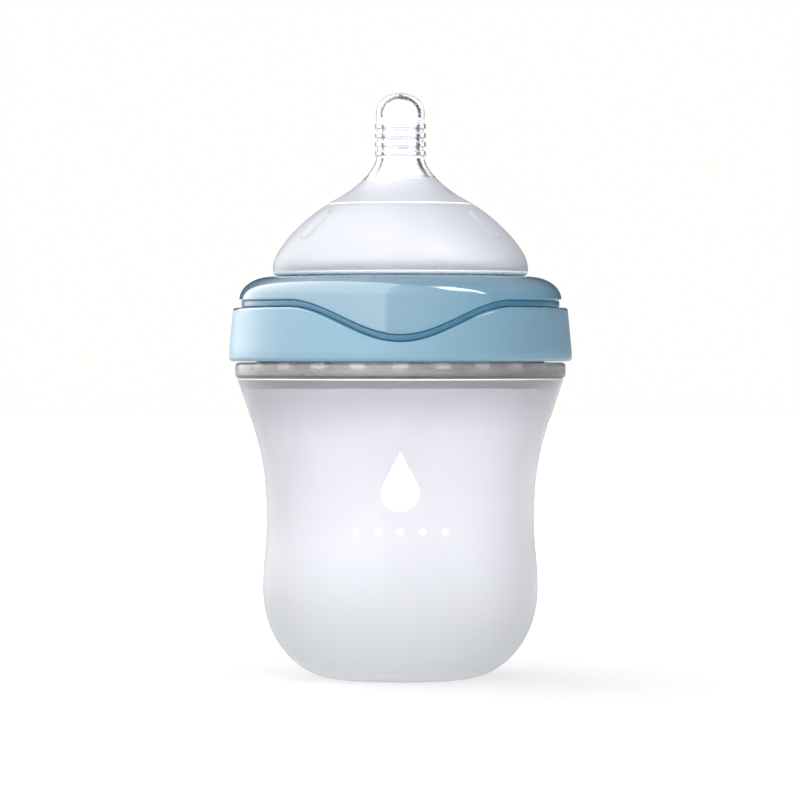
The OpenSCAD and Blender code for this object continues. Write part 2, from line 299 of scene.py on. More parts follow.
def flask_silicone():
    """Frosted silicone of the flask, less clear near its foot. Its colour darkens towards the shoulder:
    painted shade from the collar and neck ring above.
    """
    material, tree, shader, space = silicone_base("frosted_silicone")
    cloud = noise_field(tree, space, 60)
    # Painted shade: the colour by height darkens towards the shoulder, where the collar and neck ring shade
    # the flask.
    painted_shade_ramp = tree.nodes.new("ShaderNodeValToRGB")
    painted_shade_ramp.color_ramp.interpolation = "EASE"
    painted_shade_stops = [(0.0, (0.975, 0.985, 0.995)), (0.4, (0.965, 0.962, 0.99)), (0.78, (0.91, 0.895, 0.935)),
             (0.94, (0.775, 0.762, 0.805)), (1.0, (0.765, 0.755, 0.8))]
    elements = painted_shade_ramp.color_ramp.elements
    for position, colour in painted_shade_stops[1:-1]:
        elements.new(position)
    for element, (position, colour) in zip(elements, painted_shade_stops):
        element.position = position
        element.color = (*colour, 1)
    share = spread(tree, height_of(tree, space), 0.0, 1.0, 0.0, SHOULDER_Z * MM)
    painted_shade_level = combine(tree, "ADD", share, spread(tree, cloud, -0.02, 0.02))
    tree.links.new(painted_shade_level, painted_shade_ramp.inputs["Fac"])
    tree.links.new(painted_shade_ramp.outputs["Color"], shader.inputs["Base Color"])
    tree.links.new(spread(tree, cloud, 0.32, 0.37), shader.inputs["Roughness"])
    clearness = spread(tree, height_of(tree, space), 0.6, 0.82, 0.0, 0.025)
    tree.links.new(clearness, shader.inputs["Transmission Weight"])
    return material


def nipple_silicone(clear_above):
    """Frosted silicone that turns clear and smooth above a height in millimetres."""
    material, tree, shader, space = silicone_base("teat_silicone")
    cloud = noise_field(tree, space, 60)
    edge = clear_above * MM
    height = height_of(tree, space)
    clear = spread(tree, height, 0.0, 1.0, edge - 0.0005, edge + 0.0005)
    colour = tint(tree, clear, (0.945, 0.94, 0.985), (0.96, 0.97, 1.0))
    tree.links.new(colour, shader.inputs["Base Color"])
    frost_by_height = spread(tree, height, 0.35, 0.28, edge - 0.004, edge)
    frost = combine(tree, "ADD", spread(tree, cloud, -0.02, 0.02), frost_by_height)
    roughness = blend_values(tree, clear, frost, spread(tree, cloud, 0.01, 0.02))
    tree.links.new(roughness, shader.inputs["Roughness"])
    frosted = spread(tree, height, 0.74, 0.8, STEP_Z * MM, edge)
    tree.links.new(combine(tree, "MAXIMUM", clear, frosted), shader.inputs["Transmission Weight"])
    return material


def blend_values(tree, factor, a, b):
    """Value that runs from one field to another as the factor goes from 0 to 1."""
    mix = tree.nodes.new("ShaderNodeMix")
    tree.links.new(factor, mix.inputs["Factor"])
    tree.links.new(a, mix.inputs["A"])
    tree.links.new(b, mix.inputs["B"])
    return mix.outputs["Result"]


def milky_silicone():
    """White silicone of the keys, also laid on thin bands as painted highlights: the flask's shoulder edge,
    the nipple's step and the dome's lip.
    """
    material, tree, shader = new_material("milky_silicone")
    space = texture_space(tree)
    cloud = noise_field(tree, space, 300)
    colour = tint(tree, spread(tree, cloud, 0, 1), (0.96, 0.96, 0.965), (0.99, 0.99, 0.99))
    tree.links.new(colour, shader.inputs["Base Color"])
    tree.links.new(spread(tree, cloud, 0.25, 0.35), shader.inputs["Roughness"])
    shader.inputs["IOR"].default_value = 1.41
    shader.inputs["Transmission Weight"].default_value = 0.05
    grain(tree, shader, [(noise_field(tree, space, 1500), 1.0)], 0.00002)
    return material


def clear_plastic(name, colour_a, colour_b, clearness, foot=None):
    material, tree, shader = new_material(name)
    space = texture_space(tree)
    cloud = noise_field(tree, space, 90)
    colour = tint(tree, spread(tree, cloud, 0, 1), colour_a, colour_b)
    # A foot colour is painted shade: the plastic darkens from the flange down to the flask's shoulder and
    # stays dark below it.
    if foot:
        rise = tree.nodes.new("ShaderNodeMix")
        rise.data_type = "RGBA"
        height = height_of(tree, space)
        tree.links.new(spread(tree, height, 0.0, 1.0, SHOULDER_Z * MM, FLANGE_Z * MM), rise.inputs["Factor"])
        rise.inputs["A"].default_value = (*foot, 1)
        tree.links.new(colour, rise.inputs["B"])
        colour = rise.outputs["Result"]
    tree.links.new(colour, shader.inputs["Base Color"])
    tree.links.new(spread(tree, cloud, 0.26, 0.32), shader.inputs["Roughness"])
    shader.inputs["IOR"].default_value = 1.49
    shader.inputs["Transmission Weight"].default_value = clearness
    grain(tree, shader, [(noise_field(tree, space, 900), 1.0)], 0.00002)
    return material


def seam_plastic():
    """Underside of the neck ring, where it is bonded to the flask. Its dark colour is painted shade of the
    crevice there.
    """
    material, tree, shader = new_material("seam_plastic")
    space = texture_space(tree)
    cloud = noise_field(tree, space, 150)
    colour = tint(tree, spread(tree, cloud, 0, 1), (0.10, 0.095, 0.09), (0.16, 0.15, 0.145))
    tree.links.new(colour, shader.inputs["Base Color"])
    tree.links.new(spread(tree, cloud, 0.35, 0.5), shader.inputs["Roughness"])
    grain(tree, shader, [(noise_field(tree, space, 1500), 1.0)], 0.00002)
    return material


def gloss_blue():
    material, tree, shader = new_material("gloss_blue")
    space = texture_space(tree)
    cloud = noise_field(tree, space, 70)
    scuff = noise_field(tree, space, 500, detail=6, rough=0.7)
    colour = tint(tree, spread(tree, cloud, 0, 1), (0.185, 0.34, 0.445), (0.195, 0.355, 0.46))
    tree.links.new(colour, shader.inputs["Base Color"])
    tree.links.new(spread(tree, scuff, 0.05, 0.08), shader.inputs["Roughness"])
    shader.inputs["IOR"].default_value = 1.5
    shader.inputs["Specular IOR Level"].default_value = 0.8
    grain(tree, shader, [(noise_field(tree, space, 120), 1.0), (scuff, 0.1)], 0.00003)
    return material


def strip_blue():
    material, tree, shader = new_material("strip_blue")
    space = texture_space(tree)
    cloud = noise_field(tree, space, 110)
    # The strip's darker blue is painted shade of its recess between the glossy face and the skirt.
    colour = tint(tree, spread(tree, cloud, 0, 1), (0.05, 0.2, 0.31), (0.06, 0.215, 0.33))
    tree.links.new(colour, shader.inputs["Base Color"])
    tree.links.new(spread(tree, cloud, 0.22, 0.3), shader.inputs["Roughness"])
    shader.inputs["Specular IOR Level"].default_value = 0.55
    grain(tree, shader, [(noise_field(tree, space, 1500), 1.0)], 0.00002)
    return material


def matte_blue():
    material, tree, shader = new_material("matte_blue")
    space = texture_space(tree)
    cloud = noise_field(tree, space, 60)
    spark = noise_field(tree, space, 3200, detail=2)
    colour = tint(tree, spread(tree, cloud, 0, 1), (0.17, 0.315, 0.415), (0.18, 0.33, 0.43))
    tree.links.new(colour, shader.inputs["Base Color"])
    tree.links.new(spread(tree, spark, 0.38, 0.48), shader.inputs["Roughness"])
    shader.inputs["IOR"].default_value = 1.5
    shader.inputs["Specular IOR Level"].default_value = 1.0
    grain(tree, shader, [(spark, 1.0), (noise_field(tree, space, 1100), 0.7)], 0.00004)
    return material


def white_ink():
    material, tree, shader = new_material("white_ink")
    space = texture_space(tree)
    cloud = noise_field(tree, space, 400)
    colour = tint(tree, spread(tree, cloud, 0, 1), (0.93, 0.93, 0.94), (0.97, 0.97, 0.975))
    tree.links.new(colour, shader.inputs["Base Color"])
    tree.links.new(spread(tree, cloud, 0.35, 0.45), shader.inputs["Roughness"])
    shader.inputs["Subsurface Weight"].default_value = 0.3
    shader.inputs["Subsurface Scale"].default_value = 0.001
    grain(tree, shader, [(noise_field(tree, space, 1800), 1.0)], 0.00003)
    return material


SILICONE = flask_silicone()
TEAT_SILICONE = nipple_silicone(clear_above=TEAT_Z - 5.5)
WHITE_AND_HIGHLIGHT = milky_silicone()
# The neck ring's plastic has a dark brownish foot: painted shade at the bottom of the band.
PLASTIC = clear_plastic("clear_plastic", (0.78, 0.77, 0.77), (0.85, 0.84, 0.835), 0.78,
                        foot=(0.4, 0.36, 0.345))
BONDED = clear_plastic("bonded_plastic", (0.985, 0.98, 0.98), (0.995, 0.99, 0.99), 0.97)
SEAM_SHADE = seam_plastic()
GLOSS = gloss_blue()
SHADED_STRIP = strip_blue()
MATTE = matte_blue()
INK = white_ink()


# ---------------------------------------------------------------- flask

def flask_side(wall, lift):
    """Side of the flask from its foot up to the shoulder, moved in by a wall and up by a floor."""
    belly_r = BELLY_R - wall
    waist_r = WAIST_R - wall
    top_r = SHOULDER_R - wall
    foot = []
    for i in range(1, 25):
        angle = math.radians(90 * i / 24)
        foot.append((
            FOOT_R + (belly_r - FOOT_R) * math.sin(angle),
            BELLY_Z - (BELLY_Z - lift) * math.cos(angle),
        ))
    middle_z = (BELLY_Z + WAIST_Z) / 2
    belly = bezier([(belly_r, BELLY_Z), (belly_r, middle_z), (waist_r, middle_z), (waist_r, WAIST_Z)], 12)
    flare = bezier([(waist_r, WAIST_Z), (waist_r, WAIST_Z + 14), (top_r - 5.1, SHOULDER_Z - 15),
                    (top_r, SHOULDER_Z)], 26)
    return foot + belly + flare


FLASK_OUTSIDE = flask_side(0, 0)
CHANNEL_IN_R = 36.6
CHANNEL_OUT_R = 38.3
CHANNEL_TOP = SHOULDER_Z + 2.2
RING_SKIRT_Z = ring_low.z
RING_SKIRT_R = 35.2
BOND_GAP = 0.12
KEY_COUNT = 24
KEY_IN_R = 36.9
KEY_OUT_R = 38.1
KEY_ANGLE = math.radians(5.3)


def flask_radius(z):
    """Outside radius of the flask at a height."""
    for (r0, z0), (r1, z1) in zip(FLASK_OUTSIDE, FLASK_OUTSIDE[1:]):
        if z0 <= z <= z1:
            return r0 + (r1 - r0) * (z - z0) / (z1 - z0)
    return FOOT_R


def curved_block(radius_in, radius_out, low, high, centre, width):
    """Closed block bent round the axis, as vertices and faces."""
    verts = []
    steps = 6
    for i in range(steps + 1):
        angle = centre + width * (i / steps - 0.5)
        for r, z in ((radius_in, low), (radius_out, low), (radius_out, high), (radius_in, high)):
            verts.append((r * math.sin(angle) * MM, -r * math.cos(angle) * MM, z * MM))
    faces = [(0, 3, 2, 1), tuple(4 * steps + k for k in range(4))]
    for i in range(steps):
        for k in range(4):
            a = 4 * i + k
            b = 4 * i + (k + 1) % 4
            faces.append((a, b, b + 4, a + 4))
    return verts, [tuple(reversed(f)) for f in faces]


def build_flask():
    inside = [p for p in flask_side(FLASK_WALL, FLOOR_T) if p[1] < RING_SKIRT_Z - 0.5]
    outside = [p for p in FLASK_OUTSIDE if p[1] < SHOULDER_Z - 1]
    outline = rounded(
        [(0, 1), (11.5, 1), (12.5, 1, 0.4), (13.5, 0, 0.4), (FOOT_R, 0)]
        + outside
        + [(SHOULDER_R, SHOULDER_Z, 0.35), (CHANNEL_OUT_R, SHOULDER_Z, 0.1)]
        + [(CHANNEL_OUT_R, CHANNEL_TOP, 0.1), (CHANNEL_IN_R, CHANNEL_TOP, 0.1)]
        + [(CHANNEL_IN_R, RING_SKIRT_Z)]
        + inside[::-1]
        + [(FOOT_R, FLOOR_T), (0, FLOOR_T)],
        closed=False,
    )
    piece = lathe("flask_body", outline, closed=False)
    key_verts, key_faces = [], []
    for i in range(KEY_COUNT):
        centre = 2 * math.pi * i / KEY_COUNT + math.pi / 2
        verts, faces = curved_block(KEY_IN_R, KEY_OUT_R, CHANNEL_TOP - 0.3, flask_high.z, centre, KEY_ANGLE)
        base = len(key_verts)
        key_verts += verts
        key_faces += [tuple(base + v for v in f) for f in faces]
    keys = solid("flask_keys", key_verts, key_faces)
    keys.data.set_sharp_from_angle(angle=math.radians(40))
    piece.data.materials.append(SILICONE)
    piece.data.materials.append(WHITE_AND_HIGHLIGHT)
    # Painted highlight: the shoulder's top edge takes the white silicone as a bright line.
    paint(piece, 1, lambda r, z: z > SHOULDER_Z - 0.35)
    keys.data.materials.append(WHITE_AND_HIGHLIGHT)
    finish_piece(piece, "bottle", "frosted_silicone", "flask")
    finish_piece(keys, "bottle", "frosted_silicone")


# ---------------------------------------------------------------- threads

def ridge_height(angle, z, start_z, turns):
    """Share of a ridge's full height at a place on the wall, for ridges that rise to the right."""
    best = 0.0
    for start in range(THREAD_STARTS):
        offset = (angle / (2 * math.pi) + 0.25 - start / THREAD_STARTS) % 1.0
        for lap in (-1, 0, 1):
            turn = offset + lap
            fade = min(1.0, 1 + turn * 14, 1 + (turns - turn) * 14)
            if fade <= 0:
                continue
            away = abs(z - start_z - THREAD_LEAD * turn)
            flank = (1.0 - away) / 0.55
            share = min(1.0, max(0.0, flank)) * fade
            best = max(best, share * share * (3 - 2 * share))
    return best


MALE_Z = FLANGE_Z + 3.6
MALE_TURNS = 0.95
FEMALE_TURNS = 0.7
FEMALE_Z = MALE_Z + THREAD_LEAD / THREAD_STARTS - 1.614


def build_neck_ring():
    wall_top = RIM_Z - 1.5
    wall_foot = FLANGE_Z + 1.5
    rows = int((wall_top - wall_foot) / 0.22)
    wall = [(NECK_R, wall_foot + (wall_top - wall_foot) * i / rows) for i in range(rows + 1)]
    lower = [
        (RING_SKIRT_R, RING_SKIRT_Z, 0.3), (CHANNEL_IN_R - BOND_GAP, RING_SKIRT_Z, 0.3),
        (CHANNEL_IN_R - BOND_GAP, CHANNEL_TOP), (KEY_IN_R, CHANNEL_TOP), (KEY_IN_R, flask_high.z),
        (KEY_OUT_R, flask_high.z), (KEY_OUT_R, CHANNEL_TOP), (CHANNEL_OUT_R, CHANNEL_TOP),
        (CHANNEL_OUT_R, SHOULDER_Z + 0.1, 0.2), (FLANGE_R, SHOULDER_Z + 0.1, 0.8),
        (FLANGE_R, FLANGE_Z, 0.9), (NECK_R, FLANGE_Z, 0.4), (NECK_R, wall_foot - 0.1),
    ]
    upper = [
        (NECK_R, RIM_Z, 0.5), (NECK_R - NECK_WALL, RIM_Z, 0.5),
        (NECK_R - NECK_WALL, FLANGE_Z + 0.8, 0.8), (RING_SKIRT_R, FLANGE_Z - 2, 0.8),
    ]
    outline = rounded(lower + wall + upper)

    piece = lathe("neck_ring_body", lambda angle: [
        (r + THREAD_DEPTH * ridge_height(angle, z, MALE_Z, MALE_TURNS), z)
        if abs(r - NECK_R) < 0.01 and wall_foot <= z <= wall_top else (r, z)
        for r, z in outline
    ])
    piece.data.materials.append(PLASTIC)
    piece.data.materials.append(SEAM_SHADE)
    piece.data.materials.append(BONDED)
    # Painted shade: the ring's underside over the flask's shoulder takes the dark plastic.
    paint(piece, 1, lambda r, z: r > CHANNEL_OUT_R and z < SHOULDER_Z + 0.7)
    paint(piece, 2, lambda r, z: r < CHANNEL_IN_R + 0.1 and z < SHOULDER_Z + 1.5)
    finish_piece(piece, "bottle", "clear_plastic", "neck_ring")


# ---------------------------------------------------------------- collar

WAVE_DEPTH = 8.2
WAVE_HALF_W = 26.0


def wave_drop(radius, angle):
    """How far the wavy edge lies below its flat level."""
    x = abs(radius * math.sin(angle))
    if x >= WAVE_HALF_W:
        return 0.0
    return WAVE_DEPTH * ((1 + math.cos(math.pi * x / WAVE_HALF_W)) / 2) ** 0.9


def build_collar_ring():
    bottom_z = collar_low.z
    edge_h = 5.4
    flat_r = 31.0
    edge_r = 0.28
    wall_rows = 8
    top = []
    for i in range(25):
        angle = math.radians(90 * i / 24)
        top.append((flat_r + (FACE_R - flat_r) * math.sin(angle), COLLAR_Z - edge_h * (1 - math.cos(angle))))
    wall_foot = bottom_z + 1
    wall_top = PLATE_Z - 1
    rows = int((wall_top - wall_foot) / 0.22)
    bore = [(BORE_R, wall_foot + (wall_top - wall_foot) * i / rows) for i in range(rows + 1)]
    plate = [(BORE_R, PLATE_Z, 0.3), (OPENING_R, PLATE_Z, 0.4), (OPENING_R, COLLAR_Z, 0.6)]
    head = rounded(plate + top[:1], closed=False)[1:]

    def profile(angle):
        drop = wave_drop(FACE_R, angle)
        edge_z = FACE_Z - drop
        foot_z = STRIP_FOOT_Z - drop
        wall = [(FACE_R, COLLAR_Z - edge_h + (edge_z + edge_r - COLLAR_Z + edge_h) * k / wall_rows)
                for k in range(1, wall_rows)]
        edge = [(FACE_R, edge_z + edge_r + 0.04)]
        edge += [(FACE_R - edge_r * (1 - math.cos(t)), edge_z + edge_r * (1 - math.sin(t)))
                 for t in (0.0, 0.4, 0.8, 1.2, math.pi / 2)]
        strip = [(STRIP_R - STRIP_GROOVE, edge_z - 0.02), (STRIP_R - 0.08, edge_z - 0.16)]
        strip += [(STRIP_R, edge_z - 0.3 + (foot_z - edge_z + 0.6) * k / 4) for k in range(5)]
        strip += [(STRIP_R - 0.08, foot_z + 0.16), (STRIP_R - STRIP_GROOVE, foot_z + 0.02)]
        tail = [(STRIP_R, foot_z - 0.05), (STRIP_R, foot_z - 0.7)]
        corners = [tail[-1], (STRIP_R, bottom_z, 0.3), (BORE_R, bottom_z, 0.3), bore[0]]
        base = rounded(corners, closed=False)[1:-1]
        ribbed = [(r - THREAD_DEPTH * ridge_height(angle, z, FEMALE_Z, FEMALE_TURNS), z) for r, z in bore]
        return top[1:] + wall + edge + strip + tail + base + ribbed + head

    piece = lathe("collar_ring_body", profile)
    piece.data.materials.append(GLOSS)
    piece.data.materials.append(SHADED_STRIP)
    # Painted shade: the strip's rows take the darker blue.
    first = len(top) - 1 + (wall_rows - 1) + 5
    for polygon in piece.data.polygons:
        if first <= polygon.index // ROUND < first + 11:
            polygon.material_index = 1
    finish_piece(piece, "collar", "gloss_blue", "collar_ring")


def build_collar_skirt():
    foot_z = skirt_low.z
    inner_r = STRIP_R + 0.05
    lip_r = BORE_R + 0.2
    edge_fillet = 0.6
    cone_foot_z = foot_z + 2.2
    path = [
        (lip_r, foot_z, 0.2), (SKIRT_FOOT_R, foot_z, 0.9), (SKIRT_FOOT_R, cone_foot_z, 0.4),
        (SKIRT_TOP_R, STRIP_FOOT_Z, edge_fillet), (inner_r, STRIP_FOOT_Z, 0.15), (inner_r, foot_z + 1),
        (lip_r, foot_z + 1, 0.2),
    ]
    outline = rounded(path, longest=0.6)
    cone_h = STRIP_FOOT_Z - cone_foot_z
    slope = (SKIRT_FOOT_R - SKIRT_TOP_R) / cone_h

    def profile(angle):
        points = []
        for r, z in outline:
            drop = wave_drop(r, angle) * max(0.0, (z - cone_foot_z) / cone_h)
            points.append((r + (slope * drop if r > inner_r + 0.3 else 0.0), z - drop))
        return points

    piece = lathe("collar_skirt_body", profile)
    piece.data.materials.append(MATTE)
    piece.data.materials.append(GLOSS)
    polished = {i for i, (r, z) in enumerate(outline)
                if z > STRIP_FOOT_Z - edge_fillet and SKIRT_TOP_R - edge_fillet < r < SKIRT_TOP_R + 0.1}
    for polygon in piece.data.polygons:
        if polygon.index // ROUND in polished:
            polygon.material_index = 1
    finish_piece(piece, "collar", "matte_blue", "collar_skirt")


# ---------------------------------------------------------------- nipple

RIDGE_COUNT = 4
RIDGE_PITCH = 2.16
FIRST_RIDGE_Z = TEAT_Z + 0.8
GROOVE_R = 5.5
RIDGE_R = 6.08
FEED_HOLE_R = 0.1
TIP_PULL = 0.57
PAD_ANGLES = [math.radians(a) for a in (-57, 57, 180)]
DOME_TOP = (STEP_R + 0.55, STEP_Z - 0.45)
DOME_SLOPE = 0.65
CONE_SLOPE = 0.47
DOME_CORNER = (DOME_R, DOME_TOP[1] - DOME_SLOPE * (DOME_R - DOME_TOP[0]))
DOME_CURVE = corner_curve(DOME_TOP, DOME_CORNER, (DOME_R, LIP_Z + 1.5), steps=30)
PAD_Z = STEP_Z - 5.0
PAD_R = next(r for r, z in DOME_CURVE if z < PAD_Z)
PAD_REACH = 2.6
PAD_HALF_W = 2.1
PAD_EDGE = 0.4
PAD_RISE = 0.45
PAD_LEAN = (0.6, 0.8)


def pad_rise(r, z, angle):
    """Rise of the oval pads at a place on the dome."""
    rise = 0.0
    for pad in PAD_ANGLES:
        turn = (angle - pad + math.pi) % (2 * math.pi) - math.pi
        beyond = max(0.0, math.hypot(r - PAD_R, z - PAD_Z) - PAD_REACH)
        away = math.hypot(r * turn, beyond)
        share = min(1.0, max(0.0, (PAD_HALF_W + PAD_EDGE - away) / PAD_EDGE))
        rise = max(rise, PAD_RISE * share * share * (3 - 2 * share))
    return rise


def build_nipple():
    neck_r = OPENING_R - 0.4
    flange_r = BORE_R - 0.6
    wall = 2.0
    teat_wall = 1.45
    tip_wall = 1.3
    root_r = 5.75
    cone_corner = (root_r, STEP_Z + CONE_SLOPE * (STEP_R - root_r))
    cone = corner_curve((root_r, TEAT_Z), cone_corner, (STEP_R, STEP_Z), steps=30)
    ridges = []
    for i in range(RIDGE_COUNT):
        z = FIRST_RIDGE_Z + i * RIDGE_PITCH
        ridges += [(GROOVE_R, z - 0.62, 0.1), (RIDGE_R, z - 0.54, 0.12), (RIDGE_R, z + 0.54, 0.12),
                   (GROOVE_R, z + 0.62, 0.1)]
    bulb_z = FIRST_RIDGE_Z + (RIDGE_COUNT - 0.5) * RIDGE_PITCH
    hole_edge = (FEED_HOLE_R + 0.1, TIP_Z)
    tip = corner_curve((TEAT_R, TIP_Z - 4.9), (TEAT_R, TIP_Z), hole_edge, pull=TIP_PULL, steps=20)
    inner_r = DOME_R - wall
    inner_step = (STEP_R - 0.9, STEP_Z - 2)
    inner_teat_r = GROOVE_R - teat_wall
    inner_bulb_r = TEAT_R - teat_wall
    inner_dome_foot = (inner_r, LIP_Z + 2.1)
    inner_dome_corner = (inner_r, inner_step[1] - DOME_SLOPE * (inner_r - inner_step[0]))
    inner_cone_corner = (inner_teat_r, inner_step[1] + CONE_SLOPE * (inner_step[0] - inner_teat_r))
    inside = (
        [(neck_r - wall, RIM_Z, 0.3), (neck_r - wall, LIP_Z - 0.6)]
        + corner_curve((neck_r - wall, LIP_Z - 0.6), (inner_r, LIP_Z - 0.6), inner_dome_foot, pull=0.6)
        + corner_curve(inner_dome_foot, inner_dome_corner, inner_step, steps=30)
        + corner_curve(inner_step, inner_cone_corner, (inner_teat_r, TEAT_Z), steps=24)
        + [(inner_teat_r, bulb_z, 0.3), (inner_bulb_r, bulb_z + 0.8, 0.3), (inner_bulb_r, TIP_Z - 5)]
        + corner_curve((inner_bulb_r, TIP_Z - 5), (inner_bulb_r, TIP_Z - tip_wall),
                       (FEED_HOLE_R, TIP_Z - tip_wall), pull=TIP_PULL)
    )
    seal_z = nipple_low.z
    lip_z = LIP_Z - 0.45
    seal_in_r = 31.0
    seal_out_r = NECK_R - NECK_WALL - 0.3
    path = (
        [(seal_in_r, RIM_Z), (seal_in_r, seal_z, 0.3), (seal_out_r, seal_z, 0.3), (seal_out_r, RIM_Z)]
        + [(flange_r, RIM_Z, 0.4), (flange_r, PLATE_Z, 0.4), (neck_r, PLATE_Z), (neck_r, lip_z, 0.15)]
        + [(DOME_R, lip_z, 1.2)]
        + DOME_CURVE[::-1]
        + [DOME_TOP, (STEP_R, STEP_Z - 0.45, 0.08), (STEP_R, STEP_Z, 0.12)]
        + cone[::-1][1:]
        + [(root_r, TEAT_Z)]
        + ridges
        + [(TEAT_R - 0.15, bulb_z, 0.3), (TEAT_R, bulb_z + 1.5)]
        + tip
        + [(FEED_HOLE_R, TIP_Z - 0.1)]
        + inside[::-1]
    )
    outline = rounded(path)
    half = len(outline) // 2

    def profile(angle):
        points = []
        for i, (r, z) in enumerate(outline):
            rise = pad_rise(r, z, angle) if i < half and LIP_Z + 2 < z < STEP_Z - 0.6 else 0.0
            points.append((r + PAD_LEAN[0] * rise, z + PAD_LEAN[1] * rise))
        return points

    piece = lathe("nipple_body", profile, segments=320)
    piece.data.materials.append(TEAT_SILICONE)
    piece.data.materials.append(WHITE_AND_HIGHLIGHT)
    # Painted highlights: a thin white line at the step and a white band round the dome's lip.
    paint(piece, 1, lambda r, z: abs(z - STEP_Z + 0.2) < 0.17 and r > STEP_R - 0.1)
    paint(piece, 1, lambda r, z: LIP_Z - 0.5 < z < LIP_Z + 0.5 and r > DOME_R - 1.3)
    finish_piece(piece, "nipple", "teat_silicone", "nipple")


# ---------------------------------------------------------------- raised prints

def on_flask(x, z, rise, side):
    """Place on the flask's skin behind the flat drawing. Side is -1 for the front and 1 for the back."""
    radius = flask_radius(z) + rise
    x = x * (1 if side < 0 else -1)
    return (x * MM, side * math.sqrt(radius * radius - x * x) * MM, z * MM)


def raised_shape(edge, centre, thickness, side, rings=4):
    """Closed raised print from an outline of (x, z) points that can be seen whole from its centre."""
    layers = [(1.0, -0.05), (1.0, thickness * 0.6), (0.985, thickness * 0.9), (0.955, thickness)]
    layers += [(0.955 * (1 - k / rings), thickness) for k in range(1, rings)]
    verts, faces = [], []
    count = len(edge)
    for share, rise in layers:
        for x, z in edge:
            verts.append(on_flask(*between(centre, (x, z), share), rise, side))
    verts.append(on_flask(centre[0], centre[1], thickness, side))
    for layer in range(len(layers) - 1):
        for i in range(count):
            j = (i + 1) % count
            a, b = layer * count + i, layer * count + j
            faces.append((a, b, b + count, a + count))
    last = (len(layers) - 1) * count
    top = len(verts) - 1
    faces += [(last + i, last + (i + 1) % count, top) for i in range(count)]
    faces.append(tuple(range(count - 1, -1, -1)))
    return verts, faces


def joined(name, parts):
    verts, faces = [], []
    for part_verts, part_faces in parts:
        base = len(verts)
        verts += part_verts
        faces += [tuple(base + v for v in f) for f in part_faces]
    return solid(name, verts, faces)


def circle_edge(cx, cz, radius, steps=24):
    return [(cx + radius * math.cos(2 * math.pi * i / steps), cz + radius * math.sin(2 * math.pi * i / steps))
            for i in range(steps)]


def drop_edge(cz, radius, reach):
    """Outline of a drop: a circle with two straight sides that meet above it."""
    lean = math.asin(radius / reach)
    arc = [(radius * math.cos(lean - i * (math.pi + 2 * lean) / 48),
            cz + radius * math.sin(lean - i * (math.pi + 2 * lean) / 48)) for i in range(49)]
    left, right = arc[-1], arc[0]
    tip = (0.0, cz + reach)
    side_steps = 12
    rise = [between(left, tip, k / side_steps) for k in range(1, side_steps)]
    fall = [between(tip, right, k / side_steps) for k in range(1, side_steps)]
    return (arc + rise + [tip] + fall)[::-1]


def build_emblem():
    thickness = 0.3
    drop_z = 45.5
    drop_r = 4.5
    drop_tip = 9.5
    dot_z = 36.3
    dot_r = 0.85
    dot_step = 5.2
    parts = [raised_shape(drop_edge(drop_z, drop_r, drop_tip), (0.0, drop_z), thickness, -1)]
    for i in range(-2, 3):
        x = i * dot_step
        parts.append(raised_shape(circle_edge(x, dot_z, dot_r), (x, dot_z), thickness, -1, rings=2))
    piece = joined("emblem_print", parts)
    piece.data.materials.append(INK)
    finish_piece(piece, "bottle", "white_ink", "emblem")


def bar_edge(x0, x1, z, height, steps=10):
    """Outline of a bar with round ends."""
    radius = height / 2
    points = [(x0 + radius + (x1 - x0 - height) * k / steps, z - radius) for k in range(steps)]
    points += [(x1 - radius + radius * math.sin(math.pi * k / 8), z - radius * math.cos(math.pi * k / 8))
               for k in range(8)]
    points += [(x1 - radius - (x1 - x0 - height) * k / steps, z + radius) for k in range(steps)]
    points += [(x0 + radius - radius * math.sin(math.pi * k / 8), z + radius * math.cos(math.pi * k / 8))
               for k in range(8)]
    return points


def number_shape(text, right_x, z, size, thickness):
    """Raised number on the back of the flask that ends at right_x, as vertices and faces."""
    font = bpy.data.curves.new("number", "FONT")
    font.body = text
    font.size = size
    font.align_x = "RIGHT"
    font.align_y = "CENTER"
    font.extrude = 0.5
    font.resolution_u = 4
    letters = bpy.data.objects.new("number", font)
    bpy.context.scene.collection.objects.link(letters)
    mesh = bpy.data.meshes.new_from_object(letters.evaluated_get(bpy.context.evaluated_depsgraph_get()))
    verts = []
    for v in mesh.vertices:
        rise = -0.05 if v.co.z < 0 else thickness
        verts.append(on_flask(right_x + v.co.x, z + v.co.y, rise, 1))
    faces = [tuple(reversed(p.vertices)) for p in mesh.polygons]
    bpy.data.objects.remove(letters)
    bpy.data.curves.remove(font)
    bpy.data.meshes.remove(mesh)
    return verts, faces


def mark_heights():
    """Middle height of each scale mark of the CAD model, from the lowest up."""
    levels = sorted(v.co.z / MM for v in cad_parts["scale_marks"].data.vertices)
    groups = [[levels[0]]]
    for z in levels[1:]:
        if z - groups[-1][-1] > 0.8:
            groups.append([])
        groups[-1].append(z)
    return [(group[0] + group[-1]) / 2 for group in groups]


def build_scale_marks():
    thickness = 0.25
    half_w = marks_high.x
    first_ml = 30
    step_ml = 10
    bar_h = 0.5
    number_gap = 1.2
    number_size = 4.2
    parts = []
    for i, z in enumerate(mark_heights()):
        volume = first_ml + i * step_ml
        numbered = volume % first_ml == 0
        left = -half_w if numbered else 0.0
        bar = bar_edge(left, half_w, z, bar_h)
        parts.append(raised_shape(bar, ((left + half_w) / 2, z), thickness, 1, rings=2))
        if numbered:
            parts.append(number_shape(str(volume), left - number_gap, z, number_size, thickness))
    piece = joined("scale_print", parts)
    piece.data.materials.append(INK)
    finish_piece(piece, "bottle", "white_ink", "scale_marks")


build_flask()
build_neck_ring()
build_collar_ring()
build_collar_skirt()
build_nipple()
build_emblem()
build_scale_marks()


# ---------------------------------------------------------------- stage, lights and camera

